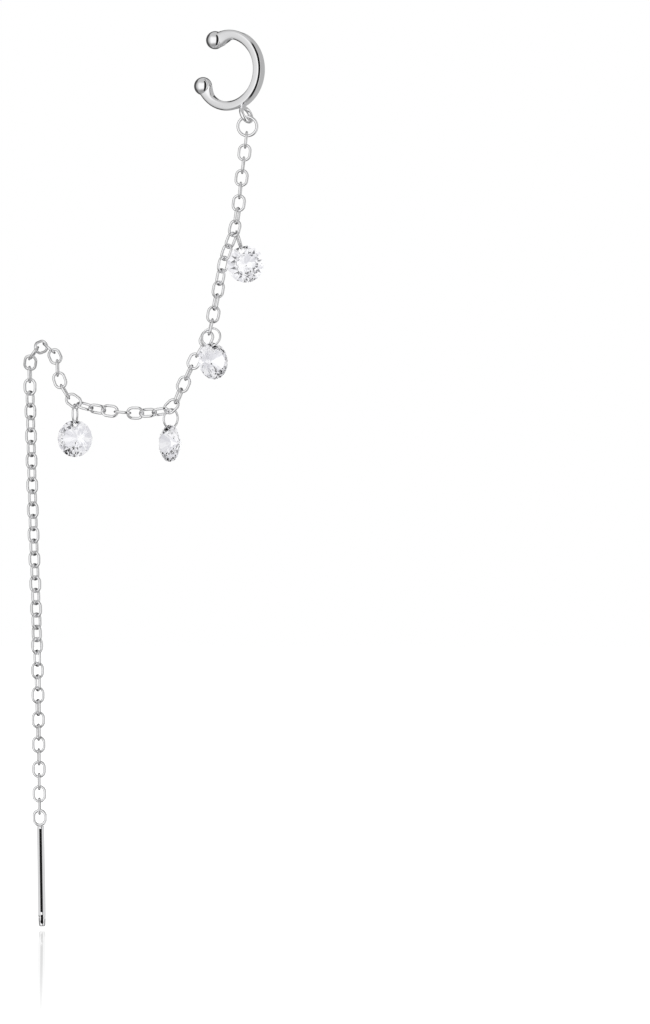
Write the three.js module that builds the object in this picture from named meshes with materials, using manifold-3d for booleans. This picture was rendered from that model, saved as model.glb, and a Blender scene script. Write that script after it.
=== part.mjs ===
// A threader ear cuff in polished silver. A C-shaped cuff with a ball at each end carries a jump ring and a
// fine cable chain. The chain hangs in a swag with four drilled brilliants, rises to the ear lobe, goes
// through it and drops straight down behind it to a thin round pin.
// Millimetres. +Z is up, -Y is the front, and the origin is the middle of the cuff.

import * as THREE from 'three';
import { ConvexGeometry } from 'three/addons/geometries/ConvexGeometry.js';
import { mergeVertices } from 'three/addons/utils/BufferGeometryUtils.js';
import Module from 'manifold-3d';

// ---- driving dimensions ----

const cuff = {
  yaw: -33, // degrees about the upright, so that the outside of the C's back shows from the front
  radius: 4.83, // to the middle of the band
  thickness: 1.3, // of the band, radially
  width: 1.64, // of the band along the cuff's axis, at the back of the C
  endWidth: 1.3, // of the band where it meets a ball
  squareness: 7, // exponent of the band's section at the back of the C, where 2 is an ellipse
  endSquareness: 3, // the same where it meets a ball
  ball: 2.5, // diameter of each ball
  neck: 0.75, // how much the band grows inwards at a ball, at the most
};

// The balls' places: degrees round the C from its back, how far out, and how much of the C the neck takes.
const balls = {
  upper: { turn: 118.6, reach: 4.71, neckSpan: 45 },
  lower: { turn: -154.5, reach: 4.67, neckSpan: 31.5 },
};

const loop = {
  place: -65.3, // degrees round the C
  reach: 7.68, // from the middle of the cuff to the middle of the wire at the loop's lowest point
  radius: 1.0, // to the middle of the wire
  wire: 0.62,
};

const jumpRing = {
  radius: 1.27,
  wire: 0.4,
  swing: -15, // degrees: the way it leans on the loop
  pull: -6, // degrees: the way the chain leans below it
};

const link = {
  width: 1.85, // outside
  reach: 1.0, // from the link's middle to the middle of the wire at its end
  wire: 0.36,
};

const dropRing = {
  radius: 1.275,
  wire: 0.28,
};

const stone = {
  diameter: 5.0,
  table: 0.57, // of the diameter
  crown: 0.7,
  girdle: 0.12,
  pavilion: 1.95,
  starReach: 0.82, // of the radius: where the star, main and upper girdle facets meet
  lowerReach: 0.24, // of the radius: where the lower girdle facets end
  hole: 0.86,
  holeInset: 0.59, // from the girdle to the middle of the hole
  holeSlant: 22, // degrees: the hole is drilled a little askew
  holePlay: 0.14, // how far the ring's wire keeps from the top of the hole
};

const pin = {
  diameter: 1.0,
  length: 13.6, // of the bar
  lean: 0.9, // degrees
  ringRadius: 0.77,
  ringWire: 0.4,
  ringReach: 0.99, // from the ring's middle to the middle of the wire at its top
  ringOffset: -0.1, // the ring is soldered a little off the pin's axis
};

// The bar's outline at its two ends, from the middle of the tip and to the middle of the top. out is a share
// of the bar's radius. A shallow groove rings the bar a little above its tip.
const tipOutline = [
  { out: 0, above: 0 },
  { out: 0.56, above: 0 },
  { out: 0.82, above: 0.14 },
  { out: 0.92, above: 0.9 },
  { out: 0.9, above: 1.25 },
  { out: 1, above: 1.5 },
];
const topOutline = [
  { out: 1, below: 0.3 },
  { out: 0.86, below: 0.08 },
  { out: 0.5, below: 0 },
  { out: 0, below: 0 },
];

const play = 0.05; // between separate pieces that hang in each other

// The chain's route below the jump ring, as far as the pin.
const route = [
  { x: 1.7, y: -1.74, z: -14.8 },
  { x: 0.8, y: -1.74, z: -21.5 },
  { x: -0.5, y: -1.74, z: -25.1 },
  { x: -1.8, y: -1.7, z: -31.6 },
  { x: -2.85, y: -1.6, z: -36.1 },
  { x: -4.0, y: -1.6, z: -38.0 },
  { x: -4.9, y: -1.6, z: -39.8 },
  { x: -6.25, y: -1.6, z: -42.7 },
  { x: -7.7, y: -1.6, z: -45.65 },
  { x: -9.2, y: -1.6, z: -46.1 },
  { x: -13.0, y: -1.6, z: -46.3 },
  { x: -19.4, y: -1.6, z: -45.4 },
  { x: -21.3, y: -1.6, z: -44.5 },
  { x: -23.0, y: -1.5, z: -41.45 },
  { x: -23.2, y: -1.2, z: -39.0 },
  { x: -24.3, y: -0.1, z: -37.4 },
  { x: -25.3, y: 1.1, z: -37.1 }, // the top of the arch, in the lobe
  { x: -26.6, y: 2.0, z: -38.2 },
  { x: -27.0, y: 3.0, z: -39.5 },
  { x: -27.0, y: 3.1, z: -42.0 },
  { x: -26.6, y: 3.1, z: -59.6 },
  { x: -26.06, y: 3.1, z: -76.4 },
  { x: -25.69, y: 3.1, z: -100.2 }, // the pin
  { x: -25.63, y: 3.1, z: -104.0 },
];

const runs = {
  swag: { links: 38, pitch: 1.715 },
  tail: { links: 37, pitch: 1.671 },
};

// How far the chain is turned about its own line: 0 shows every second link's face to the front.
const twist = [
  { link: 1, turn: 0 },
  { link: 6, turn: 5 },
  { link: 9, turn: 40 },
  { link: 12, turn: 52 },
  { link: 14, turn: 72 },
  { link: 17, turn: 90 },
  { link: 22, turn: 108 },
  { link: 24, turn: 120 },
  { link: 27, turn: 180 },
  { link: 31, turn: 263 },
  { link: 40, turn: 276 },
  { link: 42, turn: 302 },
  { link: 59, turn: 302 },
  { link: 64, turn: 336 },
  { link: 75, turn: 360 },
];

// The four drops: the link each hangs in, and how its ring and its stone are turned about the upright, lean
// to the side and tip forward, in degrees. slide is how far round its link the ring has slid, clear of the
// next link.
const drops = [
  { link: 8, slide: 42, ringTurn: -84, ringLean: 17, ringTip: 0, stoneTurn: -4, stoneLean: 16 },
  { link: 16, slide: 66, ringTurn: -14, ringLean: 4, ringTip: 22, stoneTurn: 40, stoneLean: 6 },
  { link: 23, slide: -26, ringTurn: 44, ringLean: -6, ringTip: 0, stoneTurn: -54, stoneLean: 0 },
  { link: 31, slide: 4, ringTurn: 78, ringLean: 0, ringTip: 0, stoneTurn: -20, stoneLean: 0 },
];

// Numbers of facets.
const smooth = {
  ring: 14,
  link: 12,
  wireSides: 5,
  band: 40,
  section: 16,
  ball: 18,
  ballRows: 12,
  round: 14,
  hole: 8,
};

// ---- small helpers ----

const up = new THREE.Vector3(0, 0, 1);
const front = new THREE.Vector3(0, -1, 0);
const radians = THREE.MathUtils.degToRad;
const weld = 1e-4; // corners this near each other are one
const halvings = 30; // of a stretch of the route, to find a point on it
const wasm = await Module();
wasm.setup();

function solidOf(geometry) {
  const bare = geometry.clone();
  bare.deleteAttribute('normal');
  bare.deleteAttribute('uv');
  const merged = mergeVertices(bare, weld);
  return new wasm.Manifold(new wasm.Mesh({
    numProp: 3,
    vertProperties: merged.attributes.position.array,
    triVerts: new Uint32Array(merged.index.array),
  }));
}

function geometryOf(solid) {
  const mesh = solid.getMesh();
  const geometry = new THREE.BufferGeometry();
  geometry.setAttribute('position', new THREE.BufferAttribute(mesh.vertProperties, 3));
  geometry.setIndex(new THREE.BufferAttribute(mesh.triVerts, 1));
  geometry.computeVertexNormals();
  return geometry;
}

function join(geometries) {
  const [first, ...rest] = geometries.map(solidOf);
  return geometryOf(rest.reduce((whole, next) => whole.add(next), first));
}

function reshape(geometry, place) {
  const position = geometry.attributes.position;
  const point = new THREE.Vector3();
  for (let k = 0; k < position.count; k++) {
    point.fromBufferAttribute(position, k);
    position.setXYZ(k, ...place(point).toArray());
  }
  return geometry;
}

// A ring of round wire round the Y axis, with a corner of the wire's section towards the hole. A reach
// longer than its radius makes it oval along Z.
function wireRing({ radius, wire, reach = radius, steps }) {
  const section = [];
  for (let k = 0; k <= smooth.wireSides; k++) {
    const turn = Math.PI + (2 * Math.PI * k) / smooth.wireSides;
    section.push(new THREE.Vector2(radius + (wire / 2) * Math.cos(turn), (wire / 2) * Math.sin(turn)));
  }
  const halfStep = Math.PI / steps;
  const ring = new THREE.LatheGeometry(section, steps, halfStep);
  const stretch = reach - radius * Math.cos(halfStep);
  return reshape(ring, (p) => p.setZ(p.z + Math.sign(p.z) * stretch));
}

// ---- the cuff and its jump ring ----

// How much the band has grown inwards at a turn round the C.
function neckAt(turn) {
  const grown = Object.values(balls).map((ball) =>
    1 - THREE.MathUtils.smoothstep(Math.abs(turn - ball.turn), 0, ball.neckSpan));
  return Math.min(cuff.neck, Math.max(...grown));
}

// A cosine or sine raised to a power with its sign kept, and zero where it is only rounding noise.
function bulge(value, power) {
  return Math.abs(value) < weld ? 0 : Math.sign(value) * Math.abs(value) ** power;
}

// A point of the band, whose section is a rectangle with crowned faces and round corners: along is 0 to 1
// from ball to ball, and direction is round the section, with x outwards and y along the cuff's axis.
function bandPoint(along, direction) {
  const turn = THREE.MathUtils.lerp(balls.upper.turn, balls.lower.turn, along);
  const fullness = Math.sin(Math.PI * along) ** 2;
  const halfWidth = THREE.MathUtils.lerp(cuff.endWidth, cuff.width, fullness) / 2;
  const squareness = THREE.MathUtils.lerp(cuff.endSquareness, cuff.squareness, fullness);
  const reach = Math.hypot(direction.x, direction.y);
  const cos = reach ? direction.x / reach : 0;
  const sin = reach ? direction.y / reach : 0;
  const grown = cos < -weld ? neckAt(turn) : 0;
  const power = 2 / THREE.MathUtils.lerp(squareness, 2, grown / cuff.neck);
  const radius = cuff.radius + bulge(cos, power) * (cuff.thickness / 2 + grown) * reach;
  const side = bulge(sin, power) * halfWidth * reach;
  const angle = radians(turn);
  return new THREE.Vector3(radius * Math.cos(angle), -side, radius * Math.sin(angle));
}

function band() {
  const rod = new THREE.CylinderGeometry(1, 1, 1, smooth.section, smooth.band);
  return reshape(rod, (p) => bandPoint(0.5 - p.y, { x: p.x, y: p.z }));
}

function ball({ turn, reach }) {
  const sphere = new THREE.SphereGeometry(cuff.ball / 2, smooth.ball, smooth.ballRows);
  const angle = radians(turn);
  return sphere.translate(reach * Math.cos(angle), 0, reach * Math.sin(angle));
}

// The loop stands on the outside of the band, with its hole facing along the band.
function solderedLoop() {
  const ring = wireRing({ radius: loop.radius, wire: loop.wire, steps: smooth.ring });
  ring.rotateZ(Math.PI / 2);
  ring.rotateY(Math.PI / 2 - radians(loop.place));
  const middle = loop.reach - loop.radius;
  const angle = radians(loop.place);
  return ring.translate(middle * Math.cos(angle), 0, middle * Math.sin(angle));
}

// A way down that leans from the upright by so many degrees.
function down(lean) {
  return up.clone().negate().applyAxisAngle(front, radians(lean));
}

// The jump ring hangs in the loop's lowest point.
const loopFoot = new THREE.Vector3(loop.reach, 0, 0)
  .applyEuler(new THREE.Euler(0, -radians(loop.place), radians(cuff.yaw), 'ZYX'));
const jumpMiddle = loopFoot.clone()
  .addScaledVector(down(jumpRing.swing), jumpRing.radius - (jumpRing.wire + loop.wire) / 2 - play);

// ---- the chain ----

// The first link's wire rests on the jump ring's, and its knot is that much nearer its middle.
function wayPoints() {
  const toWire = jumpRing.radius - (jumpRing.wire + link.wire) / 2 - play;
  const toKnot = toWire + link.reach - runs.swag.pitch / 2;
  const start = jumpMiddle.clone().addScaledVector(down(jumpRing.pull), toKnot);
  return [start, ...route.map(({ x, y, z }) => new THREE.Vector3(x, y, z))];
}

const line = new THREE.CatmullRomCurve3(wayPoints(), false, 'centripetal');
line.arcLengthDivisions = 2000;

// Knots are where two links touch. Each is a straight pitch from the one before, on the route.
function nextKnot(from, distance) {
  const start = line.getPointAt(from);
  let near = from;
  let far = Math.min(1, from + (2 * distance) / line.getLength());
  for (let k = 0; k < halvings; k++) {
    const middle = (near + far) / 2;
    if (line.getPointAt(middle).distanceTo(start) < distance) near = middle;
    else far = middle;
  }
  return far;
}

function twistAt(number) {
  const after = Math.max(1, twist.findIndex((row) => row.link >= number));
  const [a, b] = [twist[after - 1], twist[after]];
  const turn = THREE.MathUtils.mapLinear(number, a.link, b.link, a.turn, b.turn);
  return radians(turn + (number % 2 ? 90 : 0));
}

// Every link as its middle, the way it runs and the way its hole faces.
function layLinks() {
  const links = [];
  let at = 0;
  for (const [run, { links: count, pitch }] of Object.entries(runs)) {
    for (let k = 0; k < count; k++) {
      const next = nextKnot(at, pitch);
      const [start, end] = [line.getPointAt(at), line.getPointAt(next)];
      const along = end.clone().sub(start).normalize();
      const face = front.clone().addScaledVector(along, -front.dot(along)).normalize();
      const middle = start.clone().add(end).multiplyScalar(0.5);
      links.push({ run, middle, along, hole: face.applyAxisAngle(along, twistAt(links.length + 1)) });
      at = next;
    }
    at -= (link.wire + play - (2 * link.reach - pitch)) / line.getLength();
  }
  return links;
}

const links = layLinks();

function linkGeometry({ middle, along, hole }) {
  const radius = (link.width - link.wire) / 2;
  const ring = wireRing({ radius, wire: link.wire, reach: link.reach, steps: smooth.link });
  const side = hole.clone().cross(along);
  const place = new THREE.Matrix4().makeBasis(side, hole, along).setPosition(middle);
  return ring.applyMatrix4(place);
}

function chain(run) {
  return join(links.filter((each) => each.run === run).map(linkGeometry));
}

// ---- the drops ----

// A brilliant with its table towards -Y: table, star and main facets, girdle, pavilion and culet.
function brilliant() {
  const radius = stone.diameter / 2;
  const tableRadius = radius * stone.table;
  const crownSlope = stone.crown / (radius - tableRadius);
  const pavilionSlope = stone.pavilion / radius;
  const between = Math.cos(Math.PI / 8);
  const starDepth = (radius * stone.starReach * between - tableRadius) * crownSlope;
  const lowerDepth = radius * stone.lowerReach * between * pavilionSlope;
  const tableTop = stone.girdle / 2 + stone.crown;
  const culet = -stone.girdle / 2 - stone.pavilion;
  const rows = [
    { count: 8, from: 0, reach: tableRadius, height: tableTop },
    { count: 8, from: 0.5, reach: radius * stone.starReach, height: tableTop - starDepth },
    { count: 16, from: 0, reach: radius, height: stone.girdle / 2 },
    { count: 16, from: 0, reach: radius, height: -stone.girdle / 2 },
    { count: 8, from: 0.5, reach: radius * stone.lowerReach, height: culet + lowerDepth },
    { count: 1, from: 0, reach: 0, height: culet },
  ];
  const corners = rows.flatMap(({ count, from, reach, height }) =>
    Array.from({ length: count }, (_, k) => {
      const turn = (2 * Math.PI * (k + from)) / count;
      return new THREE.Vector3(reach * Math.sin(turn), -height, reach * Math.cos(turn));
    }));
  return new ConvexGeometry(corners);
}

function drilledStone() {
  const drill = new THREE.CylinderGeometry(stone.hole / 2, stone.hole / 2, stone.diameter, smooth.hole);
  drill.rotateZ(radians(stone.holeSlant));
  drill.translate(0, 0, stone.diameter / 2 - stone.holeInset);
  return geometryOf(solidOf(brilliant()).subtract(solidOf(drill)));
}

// Turned about the upright, tipped forward and leaned to the side, as a drop hangs.
function hangingPose(turn, lean, tip) {
  const pose = new THREE.Euler(radians(-tip), radians(-lean), radians(turn), 'YXZ');
  return new THREE.Quaternion().setFromEuler(pose);
}

// The place in a link where a ring hangs: slide degrees round its oval from the lowest point of its hole.
function restIn({ middle, along, hole }, slide) {
  const radius = (link.width - link.wire) / 2;
  const side = hole.clone().cross(along);
  const turn = Math.atan2(-side.z * radius, -along.z * link.reach) + radians(slide);
  const wire = along.clone().multiplyScalar(link.reach * Math.cos(turn))
    .addScaledVector(side, radius * Math.sin(turn));
  const inside = wire.length() - (link.wire + dropRing.wire) / 2 - play;
  return wire.setLength(inside).add(middle);
}

// Where a drop's ring and stone hang: the ring's wire on the link's, and the stone's hole on the ring's.
function hang(row) {
  const ringPose = hangingPose(row.ringTurn, row.ringLean, row.ringTip);
  const stonePose = hangingPose(row.stoneTurn, row.stoneLean, 0);
  const ringUp = up.clone().applyQuaternion(ringPose);
  const stoneUp = up.clone().applyQuaternion(stonePose);
  const ringTop = restIn(links[row.link - 1], row.slide);
  const ringMiddle = ringTop.clone().addScaledVector(ringUp, -dropRing.radius);
  const ringFoot = ringMiddle.clone().addScaledVector(ringUp, -dropRing.radius);
  const holeMiddle = ringFoot.addScaledVector(up, -(stone.hole - dropRing.wire) / 2 + stone.holePlay);
  const stoneMiddle = holeMiddle.addScaledVector(stoneUp, stone.holeInset - stone.diameter / 2);
  return { ringPose, stonePose, ringMiddle, stoneMiddle };
}

// ---- the pin ----

// The bar from its top, where the ring is soldered, down to its tip.
function bar() {
  const radius = pin.diameter / 2;
  const outline = [
    ...tipOutline.map(({ out, above }) => new THREE.Vector2(out * radius, above - pin.length)),
    ...topOutline.map(({ out, below }) => new THREE.Vector2(out * radius, -below)),
  ];
  return new THREE.LatheGeometry(outline, smooth.round).rotateX(Math.PI / 2);
}

function threaderPin() {
  const ring = wireRing({
    radius: pin.ringRadius, wire: pin.ringWire, reach: pin.ringReach, steps: smooth.ring,
  });
  const topOfWire = -pin.ringReach - pin.ringWire / 4;
  return join([ring.translate(pin.ringOffset, 0, 0), bar().translate(0, 0, topOfWire)])
    .translate(-pin.ringOffset, 0, 0);
}

// ---- the finishes and the assembly ----

const silver = { color: 0xe4e5e8, roughness: 0.12, metalness: 1 };
const fineSilver = { color: 0xdcdde0, roughness: 0.2, metalness: 1 };
const zirconia = { color: 0xf4f6fb, roughness: 0.03, metalness: 0 };

function piece(name, geometry, finish) {
  const mesh = new THREE.Mesh(geometry, new THREE.MeshStandardMaterial(finish));
  mesh.name = name;
  return mesh;
}

const earring = new THREE.Group();

const cuffGroup = new THREE.Group();
cuffGroup.rotation.z = radians(cuff.yaw);
cuffGroup.add(piece(
  'ear_cuff',
  join([band(), ball(balls.upper), ball(balls.lower), solderedLoop()]),
  silver,
));
earring.add(cuffGroup);

const jump = piece(
  'cuff_jump_ring',
  wireRing({ radius: jumpRing.radius, wire: jumpRing.wire, steps: smooth.ring }),
  silver,
);
jump.position.copy(jumpMiddle);
earring.add(jump);

earring.add(piece('swag_chain', chain('swag'), fineSilver));
earring.add(piece('tail_chain', chain('tail'), fineSilver));

drops.forEach((row, k) => {
  const { ringPose, stonePose, ringMiddle, stoneMiddle } = hang(row);
  const ring = piece(
    `drop_ring_${k + 1}`,
    wireRing({ radius: dropRing.radius, wire: dropRing.wire, steps: smooth.ring }),
    silver,
  );
  ring.position.copy(ringMiddle);
  ring.quaternion.copy(ringPose);
  const gem = piece(`stone_${k + 1}`, drilledStone(), zirconia);
  gem.position.copy(stoneMiddle);
  gem.quaternion.copy(stonePose);
  earring.add(ring, gem);
});

// The pin's ring hangs in the last link.
const lastLink = links[links.length - 1];
const lastWire = lastLink.middle.clone().addScaledVector(lastLink.along, link.reach);
const pinGroup = new THREE.Group();
pinGroup.position.copy(lastWire);
pinGroup.rotation.y = radians(-pin.lean);
const pinMesh = piece('threader_pin', threaderPin(), silver);
pinMesh.position.z = (link.wire + pin.ringWire) / 2 + play - pin.ringReach;
pinGroup.add(pinMesh);
earring.add(pinGroup);

export default earring;
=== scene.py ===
"""A threader ear cuff in polished silver, with a cable chain, four drilled brilliants and a round pin.

Metres. +Z is up, -Y is the front, and the origin is the middle of the cuff.
"""

import math

import bmesh
import bpy
from bpy.props import FloatProperty, FloatVectorProperty, IntProperty, PointerProperty
from mathutils import Matrix, Vector


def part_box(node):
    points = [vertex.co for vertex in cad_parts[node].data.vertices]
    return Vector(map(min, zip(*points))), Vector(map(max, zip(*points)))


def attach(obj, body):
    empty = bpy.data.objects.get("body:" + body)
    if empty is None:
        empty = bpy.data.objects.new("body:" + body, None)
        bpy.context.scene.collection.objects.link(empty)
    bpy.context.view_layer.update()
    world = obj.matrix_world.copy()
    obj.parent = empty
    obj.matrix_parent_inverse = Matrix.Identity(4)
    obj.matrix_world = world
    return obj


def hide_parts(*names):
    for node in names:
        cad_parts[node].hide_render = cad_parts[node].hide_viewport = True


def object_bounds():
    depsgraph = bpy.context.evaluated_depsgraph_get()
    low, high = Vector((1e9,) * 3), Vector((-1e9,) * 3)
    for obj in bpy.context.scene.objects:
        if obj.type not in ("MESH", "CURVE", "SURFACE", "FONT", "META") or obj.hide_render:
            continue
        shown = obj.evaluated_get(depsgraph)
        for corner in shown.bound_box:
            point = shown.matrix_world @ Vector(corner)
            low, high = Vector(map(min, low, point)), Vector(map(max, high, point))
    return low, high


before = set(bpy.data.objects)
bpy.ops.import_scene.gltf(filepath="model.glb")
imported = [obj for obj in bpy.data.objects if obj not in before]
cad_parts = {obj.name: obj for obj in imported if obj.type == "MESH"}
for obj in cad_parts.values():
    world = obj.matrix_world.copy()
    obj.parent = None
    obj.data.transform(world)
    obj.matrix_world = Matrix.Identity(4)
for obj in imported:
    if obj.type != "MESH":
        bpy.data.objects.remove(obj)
CAD_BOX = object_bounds()

bl_info = {
    "name": "Threader ear cuff",
    "version": (1, 0, 0),
    "blender": (4, 5, 0),
    "location": "3D View > Sidebar > Ear cuff",
    "description": "Builds a silver ear cuff with a threader chain, four brilliants and a pin",
    "category": "Add Mesh",
}

MM = 0.001
UP = Vector((0, 0, 1))
FRONT = Vector((0, -1, 0))

# How close two points are before they become one.
WELD = 1e-7

# The attribute that holds each link's turn.
LINK_TURN = "link_turn"

# The chain's route below the jump ring, as far as the pin: x, y and z in millimetres.
ROUTE = (
    (1.7, -1.74, -14.8),
    (0.8, -1.74, -21.5),
    (-0.5, -1.74, -25.1),
    (-1.8, -1.7, -31.6),
    (-2.85, -1.6, -36.1),
    (-4.0, -1.6, -38.0),
    (-4.9, -1.6, -39.8),
    (-6.25, -1.6, -42.7),
    (-7.7, -1.6, -45.65),
    (-9.2, -1.6, -46.1),
    (-13.0, -1.6, -46.3),
    (-19.4, -1.6, -45.4),
    (-21.3, -1.6, -44.5),
    (-23.0, -1.5, -41.45),
    (-23.2, -1.2, -39.0),
    (-24.3, -0.1, -37.4),
    (-25.3, 1.1, -37.1),
    (-26.6, 2.0, -38.2),
    (-27.0, 3.0, -39.5),
    (-27.0, 3.1, -42.0),
    (-26.6, 3.1, -59.6),
    (-26.06, 3.1, -76.4),
    (-25.69, 3.1, -100.2),
    (-25.63, 3.1, -104.0),
)

# How far the chain is turned about its own line: the link's number and degrees.
TWIST = (
    (1, 0), (6, 5), (9, 40), (12, 52), (14, 72), (17, 90), (22, 108), (24, 120),
    (27, 180), (31, 263), (40, 276), (42, 302), (59, 302), (64, 336), (75, 360),
)

# The link each drop hangs in, how far its ring has slid round that link, and how its ring and its stone
# are turned about the upright, lean to the side and tip forward, in degrees.
DROP_COLUMNS = ("link", "slide", "ring_turn", "ring_lean", "ring_tip", "stone_turn", "stone_lean")
DROPS = (
    (8, 42, -84, 17, 0, -4, 16),
    (16, 66, -14, 4, 22, 40, 6),
    (23, -26, 44, -6, 0, -54, 0),
    (31, 4, 78, 0, 0, -20, 0),
)

# The pin's outline, as shares of its radius and millimetres above its foot or below its top.
PIN_FOOT = (
    (0.0, 0.0), (0.56, 0.0), (0.62, 0.01), (0.78, 0.09), (0.83, 0.18), (0.92, 0.9), (0.905, 1.2),
    (0.93, 1.35), (0.99, 1.5), (1.0, 1.6),
)
PIN_TOP = ((1.0, 0.35), (0.97, 0.2), (0.88, 0.09), (0.7, 0.02), (0.5, 0.0), (0.0, 0.0))


# ---- properties ----

def length(name, description, millimetres):
    return FloatProperty(name=name, description=description, default=millimetres * MM,
                         unit="LENGTH", precision=6)


def turn(name, description, degrees):
    return FloatProperty(name=name, description=description, default=math.radians(degrees),
                         subtype="ANGLE")


def share(name, description, value):
    return FloatProperty(name=name, description=description, default=value, min=0.0, max=1.0,
                         subtype="FACTOR", precision=4)


def flatness(name, description, value):
    return FloatProperty(name=name, description=description, default=value, min=2.0, max=12.0)


def colour(name, description, value):
    return FloatVectorProperty(name=name, description=description, default=value, size=3,
                               min=0.0, max=1.0, subtype="COLOR")


class CuffSizes(bpy.types.PropertyGroup):
    """Sizes of the C-shaped cuff and its soldered loop"""
    yaw: turn("Yaw", "How far the C is turned about the upright", -33)
    radius: length("Radius", "To the middle of the band", 4.83)
    thickness: length("Thickness", "Of the band, radially", 1.3)
    width: length("Width", "Of the band at the back of the C", 1.64)
    end_width: length("End width", "Of the band where it meets a ball", 1.3)
    squareness: flatness("Squareness", "How flat the band's outer face is, where 2 is round", 8.0)
    crown: flatness("Crown", "How flat the band's side faces are, where 2 is round", 4.0)
    end_squareness: flatness("End squareness", "Both of these where the band meets a ball", 3.0)
    bevel: FloatProperty(name="Bevel", default=1.62, min=1.0, max=2.0,
                         description="Where the section's corners are taken off, where 2 leaves them whole")
    bevel_cut: share("Bevel cut", "How much of a corner past the bevel is taken off, on each side", 0.45)
    ball: length("Ball", "Diameter of each ball", 2.5)
    neck: length("Neck", "How much the band grows inwards at a ball, at the most", 0.75)
    upper_turn: turn("Upper ball", "Its place round the C, from its back", 118.6)
    upper_reach: length("Upper ball's reach", "From the middle of the C to the ball's middle", 4.71)
    upper_span: turn("Upper neck's span", "How much of the C the neck takes", 45)
    lower_turn: turn("Lower ball", "Its place round the C, from its back", -154.5)
    lower_reach: length("Lower ball's reach", "From the middle of the C to the ball's middle", 4.67)
    lower_span: turn("Lower neck's span", "How much of the C the neck takes", 31.5)
    loop_place: turn("Loop place", "The loop's place round the C", -65.3)
    loop_reach: length("Loop reach", "From the middle of the cuff to the loop's lowest wire", 7.68)
    loop_radius: length("Loop radius", "To the middle of the loop's wire", 1.0)
    loop_wire: length("Loop wire", "Diameter of the loop's wire", 0.62)
    jump_radius: length("Jump ring radius", "To the middle of the jump ring's wire", 1.27)
    jump_wire: length("Jump ring wire", "Diameter of the jump ring's wire", 0.4)
    jump_pull: turn("Pull", "How the chain leans below the jump ring", -6)


class ChainSizes(bpy.types.PropertyGroup):
    """Sizes of the cable chain"""
    width: length("Link width", "Outside width of a link", 1.85)
    reach: length("Link reach", "From a link's middle to the wire at its end", 1.0)
    wire: length("Link wire", "Diameter of a link's wire", 0.36)
    play: length("Play", "Between separate pieces that hang in each other", 0.05)
    swag_links: IntProperty(name="Swag links", description="Links of the swag", default=38, min=2)
    swag_pitch: length("Swag pitch", "From one link's knot to the next in the swag", 1.715)
    tail_links: IntProperty(name="Tail links", description="Links of the tail", default=37, min=2)
    tail_pitch: length("Tail pitch", "From one link's knot to the next in the tail", 1.671)
    steps: IntProperty(name="Steps", description="Segments round a link", default=32, min=12)
    sides: IntProperty(name="Sides", description="Sides of a link's wire", default=12, min=6)


class DropSizes(bpy.types.PropertyGroup):
    """Sizes of the drops: a wire ring and a drilled brilliant"""
    ring_radius: length("Ring radius", "To the middle of the ring's wire", 1.275)
    ring_wire: length("Ring wire", "Diameter of the ring's wire", 0.28)
    diameter: length("Diameter", "Of the stone's girdle", 5.0)
    table: share("Table", "The table's share of the diameter", 0.57)
    crown: length("Crown", "Height of the crown", 0.7)
    girdle: length("Girdle", "Height of the girdle", 0.12)
    pavilion: length("Pavilion", "Depth of the pavilion", 1.95)
    star_reach: share("Star reach", "Share of the radius where the star facets end", 0.82)
    lower_reach: share("Lower reach", "Share of the radius where the lower girdle facets end", 0.24)
    hole: length("Hole", "Diameter of the drilled hole", 0.86)
    hole_inset: length("Hole inset", "From the girdle to the middle of the hole", 0.59)
    hole_slant: turn("Hole slant", "How much askew the hole is drilled", 22)
    hole_play: length("Hole play", "Between the ring's wire and the top of the hole", 0.14)


class PinSizes(bpy.types.PropertyGroup):
    """Sizes of the threader pin and its ring"""
    diameter: length("Diameter", "Of the bar", 1.0)
    length: length("Length", "Of the bar", 13.6)
    lean: turn("Lean", "From the upright", 0.9)
    ring_radius: length("Ring radius", "To the middle of the ring's wire, across", 0.77)
    ring_wire: length("Ring wire", "Diameter of the ring's wire", 0.4)
    ring_reach: length("Ring reach", "To the middle of the ring's wire, upwards", 0.99)
    ring_offset: length("Ring offset", "The ring is soldered a little off the bar's axis", -0.1)


class Finishes(bpy.types.PropertyGroup):
    """Colours and gloss of the silver and the stones"""
    silver: colour("Silver", "Colour of the polished silver", (0.965, 0.965, 0.975))
    polish: share("Polish", "Roughness of the polished silver", 0.05)
    chain_polish: share("Chain polish", "Roughness of the drawn and tumbled chain wire", 0.07)
    stone: colour("Stone", "Colour of the stones", (0.98, 0.98, 0.995))
    stone_ior: FloatProperty(name="Stone IOR", description="Refraction of the stones", default=1.75)


class StageSettings(bpy.types.PropertyGroup):
    """Camera, floor and white tent. Brightnesses are shares of white"""
    lens: FloatProperty(name="Lens", description="Focal length in millimetres", default=250.0)
    distance: length("Distance", "From the camera to the object", 960.0)
    aim: FloatVectorProperty(name="Aim", description="The point that the camera faces", size=3,
                             default=(0.01296, 0.0, -0.05963), subtype="TRANSLATION")
    floor_gap: length("Floor gap", "Between the pin's tip and the floor", 0.35)
    lamp: share("Lamp", "Brightness of the soft lamp, left of the camera", 1.0)
    left: share("Left", "Brightness of the tent's left side", 0.54)
    right: share("Right", "Brightness of the tent's right side", 0.56)
    above: share("Above", "Brightness of the tent's top", 0.58)
    below: share("Below", "Brightness of the tent's foot", 0.36)
    back: share("Back", "Brightness of the tent behind the object", 0.08)
    slit: share("Slit", "Brightness of the tent's opening", 0.02)
    slit_turn: turn("Slit turn", "Where the opening is, to the right of the camera", 30)
    slit_width: turn("Slit width", "Half the opening's width", 16)
    slit_tilt: turn("Slit tilt", "How much further right the opening is at the tent's top", 3)


# ---- meshes ----

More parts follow.
